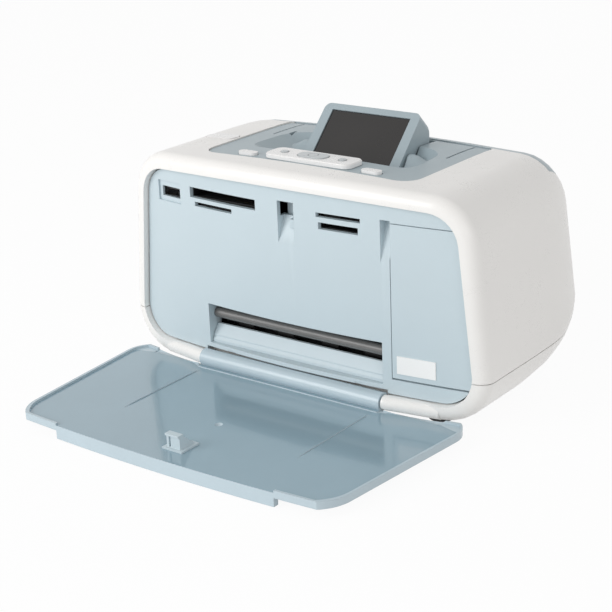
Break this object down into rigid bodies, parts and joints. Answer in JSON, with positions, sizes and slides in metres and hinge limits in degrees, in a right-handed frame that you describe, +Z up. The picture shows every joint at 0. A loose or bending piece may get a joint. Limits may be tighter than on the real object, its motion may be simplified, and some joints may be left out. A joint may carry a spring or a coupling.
{
  "type": "photo printer",
  "caption": "Compact photo printer with a drop-down output tray, tilt-up display, front card slots, cartridge door and hinged rear paper lid.",
  "frame": {"origin": "centre of the whole footprint, tray open, on the standing surface", "axes": "+X across the front to its right-hand side, +Y from front to back, +Z up"},
  "size_m": [0.22, 0.2114, 0.1328],
  "materials": {
    "shell_white": "satin moulded ABS",
    "fascia_blue": "fine satin moulded ABS",
    "tray_blue": "glossy moulded ABS",
    "deck_blue": "satin moulded ABS",
    "key_white": "satin moulded ABS",
    "key_grey": "satin painted keys",
    "black_plastic": "black moulded plastic",
    "dark_plastic": "dark grey moulded plastic",
    "gear_white": "acetal",
    "bar_grey": "grey plastic bar",
    "display_glass": "dark display behind clear cover",
    "steel": "ground steel",
    "rubber": "soft black rubber",
    "board_green": "coated circuit board",
    "label_white": "printed label left blank"
  },
  "bodies": {
    "case": {"upper_shell": "shell_white", "base_shell": "shell_white", "front_fascia": "fascia_blue", "top_deck": "deck_blue", "output_ramp": "fascia_blue", "door_hinge_pins": "steel", "tray_hinge_pins": "steel", "tray_catch": "fascia_blue", "rear_frame": "black_plastic", "control_plate": "key_white", "control_board": "board_green", "card_board": "board_green", "card_sockets": "black_plastic", "usb_host_socket": "steel", "main_board": "board_green", "power_inlet": "black_plastic", "usb_device_socket": "steel", "chassis": "dark_plastic", "platen": "black_plastic", "carriage_rail": "steel", "drive_belt": "rubber", "carriage_motor": "steel", "feed_motor": "steel", "encoder_strip": "gear_white", "service_station": "dark_plastic", "capping_pad": "rubber", "case_screws": "steel", "feet": "rubber"},
    "door": {"cartridge_door": "fascia_blue", "label_plate": "label_white"},
    "tray": {"output_tray": "tray_blue", "tray_latch": "fascia_blue"},
    "lid": {"rear_lid": "deck_blue"},
    "guide": {"paper_guide": "tray_blue"},
    "screen": {"screen_housing": "deck_blue", "screen_back": "deck_blue", "display_glass": "display_glass"},
    "pad": {"direction_pad": "key_grey"},
    "ok": {"ok_key": "key_grey"},
    "menu": {"menu_key": "key_grey"},
    "zoom": {"zoom_key": "key_grey"},
    "print_key": {"print_button": "key_white"},
    "cancel_key": {"cancel_button": "key_white"},
    "power_key": {"power_button": "key_white"},
    "carriage_unit": {"carriage": "black_plastic", "print_cartridge": "dark_plastic"},
    "motor_pulley_unit": {"motor_pulley": "steel"},
    "idler_pulley_unit": {"idler_pulley": "gear_white"},
    "pinion": {"feed_pinion": "steel"},
    "feed": {"feed_roller": "steel", "feed_gear": "gear_white"},
    "idler": {"idler_gear": "gear_white"},
    "exit": {"exit_roller": "steel", "exit_tyres": "rubber", "exit_gear": "gear_white"},
    "pick": {"pick_roller": "steel", "pick_tyre": "rubber", "pick_gear": "gear_white"},
    "bar": {"pinch_bar": "bar_grey"},
    "pinch": {"pinch_rollers": "rubber"}
  },
  "joints": [
    {"name": "tray_hinge", "type": "hinge", "parent": "case", "child": "tray", "pos_m": [0, -0.0048, 0.011], "axis": [1, 0, 0], "range_deg": [-90, 0]},
    {"name": "door_hinge", "type": "hinge", "parent": "case", "child": "door", "pos_m": [0.0594, 0.00001, 0.0246], "axis": [0.9911, 0.133, 0], "range_deg": [0, 60]},
    {"name": "screen_hinge", "type": "hinge", "parent": "case", "child": "screen", "pos_m": [0, 0.06, 0.112], "axis": [1, 0, 0], "range_deg": [-45, 0]},
    {"name": "lid_hinge", "type": "hinge", "parent": "case", "child": "lid", "pos_m": [0, 0.0997, 0.049], "axis": [-1, 0, 0], "range_deg": [0, 35]},
    {"name": "guide_slide", "type": "slide", "parent": "case", "child": "guide", "axis": [-1, 0, 0], "range_m": [0, 0.02]},
    {"name": "pad_press", "type": "slide", "parent": "case", "child": "pad", "axis": [0, 0, -1], "range_m": [0, 0.0006], "stiffness_N_per_m": 200, "springref_m": -0.0005},
    {"name": "ok_press", "type": "slide", "parent": "case", "child": "ok", "axis": [0, 0, -1], "range_m": [0, 0.0006], "stiffness_N_per_m": 200, "springref_m": -0.0005},
    {"name": "menu_press", "type": "slide", "parent": "case", "child": "menu", "axis": [0, 0, -1], "range_m": [0, 0.0006], "stiffness_N_per_m": 200, "springref_m": -0.0005},
    {"name": "zoom_press", "type": "slide", "parent": "case", "child": "zoom", "axis": [0, 0, -1], "range_m": [0, 0.0006], "stiffness_N_per_m": 200, "springref_m": -0.0005},
    {"name": "print_press", "type": "slide", "parent": "case", "child": "print_key", "axis": [0, 0, -1], "range_m": [0, 0.0006], "stiffness_N_per_m": 200, "springref_m": -0.0005},
    {"name": "cancel_press", "type": "slide", "parent": "case", "child": "cancel_key", "axis": [0, 0, -1], "range_m": [0, 0.0006], "stiffness_N_per_m": 200, "springref_m": -0.0005},
    {"name": "power_press", "type": "slide", "parent": "case", "child": "power_key", "axis": [0, 0, -1], "range_m": [0, 0.0006], "stiffness_N_per_m": 200, "springref_m": -0.0005},
    {"name": "carriage_slide", "type": "slide", "parent": "case", "child": "carriage_unit", "axis": [-1, 0, 0], "range_m": [0, 0.132]},
    {"name": "motor_pulley_spin", "type": "hinge", "parent": "case", "child": "motor_pulley_unit", "pos_m": [0.082, 0.0617, 0.072], "axis": [0, 1, 0], "range_deg": [0, 1520]},
    {"name": "idler_pulley_spin", "type": "hinge", "parent": "case", "child": "idler_pulley_unit", "pos_m": [-0.082, 0.0617, 0.072], "axis": [0, 1, 0], "range_deg": [0, 1520]},
    {"name": "feed_spin", "type": "hinge", "parent": "case", "child": "feed", "pos_m": [0, 0.0557, 0.027], "axis": [1, 0, 0], "continuous": true},
    {"name": "pinion_spin", "type": "hinge", "parent": "case", "child": "pinion", "pos_m": [-0.0965, 0.05006, 0.04251], "axis": [1, 0, 0], "continuous": true},
    {"name": "idler_spin", "type": "hinge", "parent": "case", "child": "idler", "pos_m": [-0.0965, 0.0317, 0.027], "axis": [1, 0, 0], "continuous": true},
    {"name": "exit_spin", "type": "hinge", "parent": "case", "child": "exit", "pos_m": [0, 0.0137, 0.027], "axis": [1, 0, 0], "continuous": true},
    {"name": "pick_spin", "type": "hinge", "parent": "case", "child": "pick", "pos_m": [0, 0.07267, 0.04397], "axis": [1, 0, 0], "continuous": true},
    {"name": "pinch_spin", "type": "hinge", "parent": "case", "child": "pinch", "pos_m": [0, 0.0557, 0.0373], "axis": [1, 0, 0], "continuous": true},
    {"name": "bar_spin", "type": "hinge", "parent": "case", "child": "bar", "pos_m": [0, 0.0047, 0.0334], "axis": [1, 0, 0], "continuous": true}
  ],
  "couplings": [
    {"joint": "motor_pulley_spin", "follows": "carriage_slide", "rad_per_m": 200},
    {"joint": "idler_pulley_spin", "follows": "carriage_slide", "rad_per_m": 200},
    {"joint": "pinion_spin", "follows": "feed_spin", "ratio": -2.6667},
    {"joint": "idler_spin", "follows": "feed_spin", "ratio": -1},
    {"joint": "exit_spin", "follows": "feed_spin", "ratio": 2},
    {"joint": "pick_spin", "follows": "feed_spin", "ratio": -1},
    {"joint": "pinch_spin", "follows": "feed_spin", "ratio": -1.5}
  ]
}
